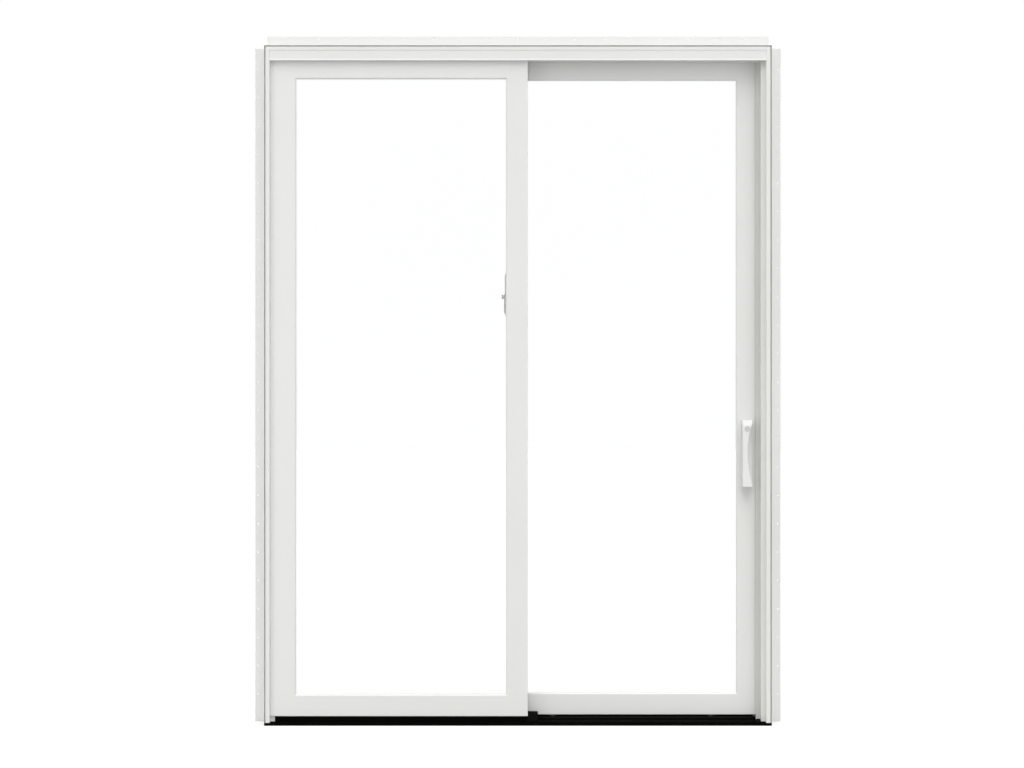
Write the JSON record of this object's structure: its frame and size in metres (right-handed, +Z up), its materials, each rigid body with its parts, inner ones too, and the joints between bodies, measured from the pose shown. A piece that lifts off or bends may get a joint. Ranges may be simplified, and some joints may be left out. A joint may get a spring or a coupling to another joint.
{
  "type": "glass sliding patio door",
  "caption": "White-framed sliding patio door with a fixed and a sliding glazed panel, black sill, pull handles, key lock, night latch and nailing fins.",
  "frame": {"origin": "middle of the frame's width on the sill's underside, in the plane of the fins' wall-side faces", "axes": "+X to the right seen from outside, +Y from outside to inside, +Z up"},
  "size_m": [1.88, 0.162, 2.461],
  "materials": {
    "frame_white": "satin white extruded profile",
    "fin_white": "thin white extruded fin",
    "sill_black": "black anodised extrusion",
    "block_black": "black moulded plastic",
    "track_steel": "black coated steel rail",
    "seal_grey": "light grey extruded strip",
    "panel_white": "satin white extruded profile",
    "clear_glass": "clear float glass",
    "spacer_metal": "mill aluminium spacer",
    "hardware_steel": "satin plated steel",
    "wheel_plastic": "dark nylon",
    "handle_white": "white powder coat"
  },
  "bodies": {
    "frame": {"head": "frame_white", "head_cover": "frame_white", "left_jamb": "frame_white", "right_jamb": "frame_white", "parting_strips": "frame_white", "inside_stops": "frame_white", "nailing_fin_left": "fin_white", "nailing_fin_right": "fin_white", "nailing_fin_head": "fin_white", "sill": "sill_black", "sill_seat_rail": "sill_black", "sill_riser": "sill_black", "sill_block": "block_black", "open_stop": "block_black", "roller_track": "track_steel", "jamb_seal_strip": "seal_grey", "fixed_interlock": "seal_grey", "fixed_left_stile": "panel_white", "fixed_meeting_stile": "panel_white", "fixed_top_rail": "panel_white", "fixed_bottom_rail": "panel_white", "fixed_glazing_beads": "panel_white", "fixed_outer_glass": "clear_glass", "fixed_inner_glass": "clear_glass", "fixed_glass_spacer": "spacer_metal", "strike_plate": "hardware_steel"},
    "sliding_panel": {"sliding_lock_stile": "panel_white", "sliding_meeting_stile": "panel_white", "sliding_top_rail": "panel_white", "sliding_bottom_rail": "panel_white", "sliding_outer_glass": "clear_glass", "sliding_inner_glass": "clear_glass", "sliding_glass_spacer": "spacer_metal", "sliding_glazing_beads": "panel_white", "sliding_interlock": "seal_grey", "roller_housings": "hardware_steel", "roller_wheels": "wheel_plastic", "outside_handle_plate": "handle_white", "outside_handle_grip": "handle_white", "key_cylinder": "hardware_steel", "inside_handle_plate": "handle_white", "inside_handle_grip": "handle_white", "thumb_turn": "handle_white", "lock_face_plate": "hardware_steel", "night_latch_case": "handle_white"},
    "key_plug": {"key_plug": "hardware_steel"},
    "night_latch": {"night_latch_knob": "handle_white"}
  },
  "joints": [
    {"name": "panel_slide", "type": "slide", "parent": "frame", "child": "sliding_panel", "axis": [-1, 0, 0], "range_m": [0, 0.745]},
    {"name": "key_turn", "type": "hinge", "parent": "sliding_panel", "child": "key_plug", "pos_m": [0.82, 0, 1.057], "axis": [0, -1, 0], "range_deg": [-90, 90]},
    {"name": "latch_turn", "type": "hinge", "parent": "sliding_panel", "child": "night_latch", "pos_m": [-0.0495, 0.042, 1.531], "axis": [-1, 0, 0], "range_deg": [0, 90]}
  ]
}
